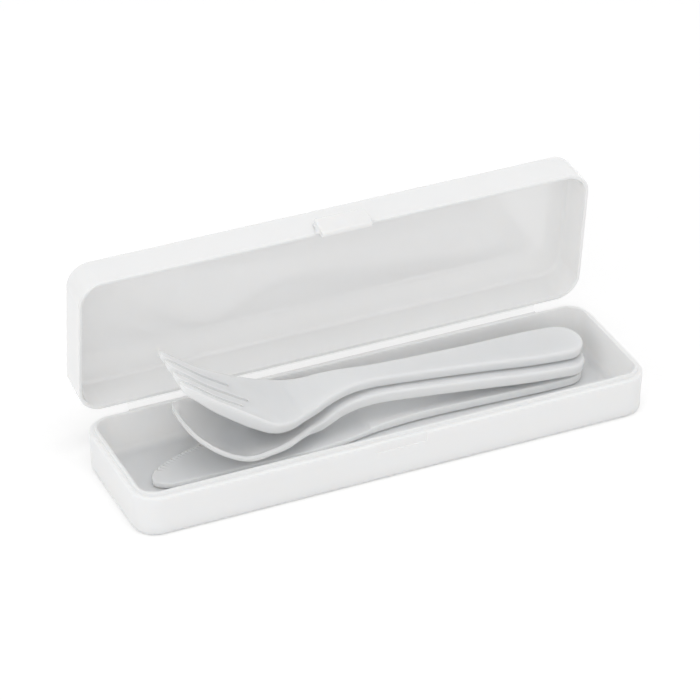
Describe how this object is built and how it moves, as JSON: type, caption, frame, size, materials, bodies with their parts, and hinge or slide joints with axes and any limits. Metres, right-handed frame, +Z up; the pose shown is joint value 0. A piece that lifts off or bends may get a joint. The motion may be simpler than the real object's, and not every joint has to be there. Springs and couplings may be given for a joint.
{
  "type": "plastic cutlery pack",
  "caption": "Slim hinged plastic cutlery case standing open, with a knife, a spoon and a fork stacked in its tray.",
  "frame": {"origin": "middle of the tray's underside, on the surface that the tray stands on", "axes": "+X along the case towards the handles' ends, +Y from the front wall towards the hinge, +Z up"},
  "size_m": [0.195, 0.0711, 0.074],
  "materials": {
    "case_tray": "satin, slightly translucent",
    "case_lid": "satin, slightly translucent",
    "knife": "satin",
    "spoon": "satin",
    "fork": "satin"
  },
  "bodies": {
    "base": {"tray": "case_tray", "knife": "knife", "spoon": "spoon", "fork": "fork"},
    "lid": {"lid": "case_lid"}
  },
  "joints": [
    {"name": "lid_hinge", "type": "hinge", "parent": "base", "child": "lid", "pos_m": [0, 0.0295, 0.01565], "axis": [-1, 0, 0], "range_deg": [-41, 96]}
  ]
}
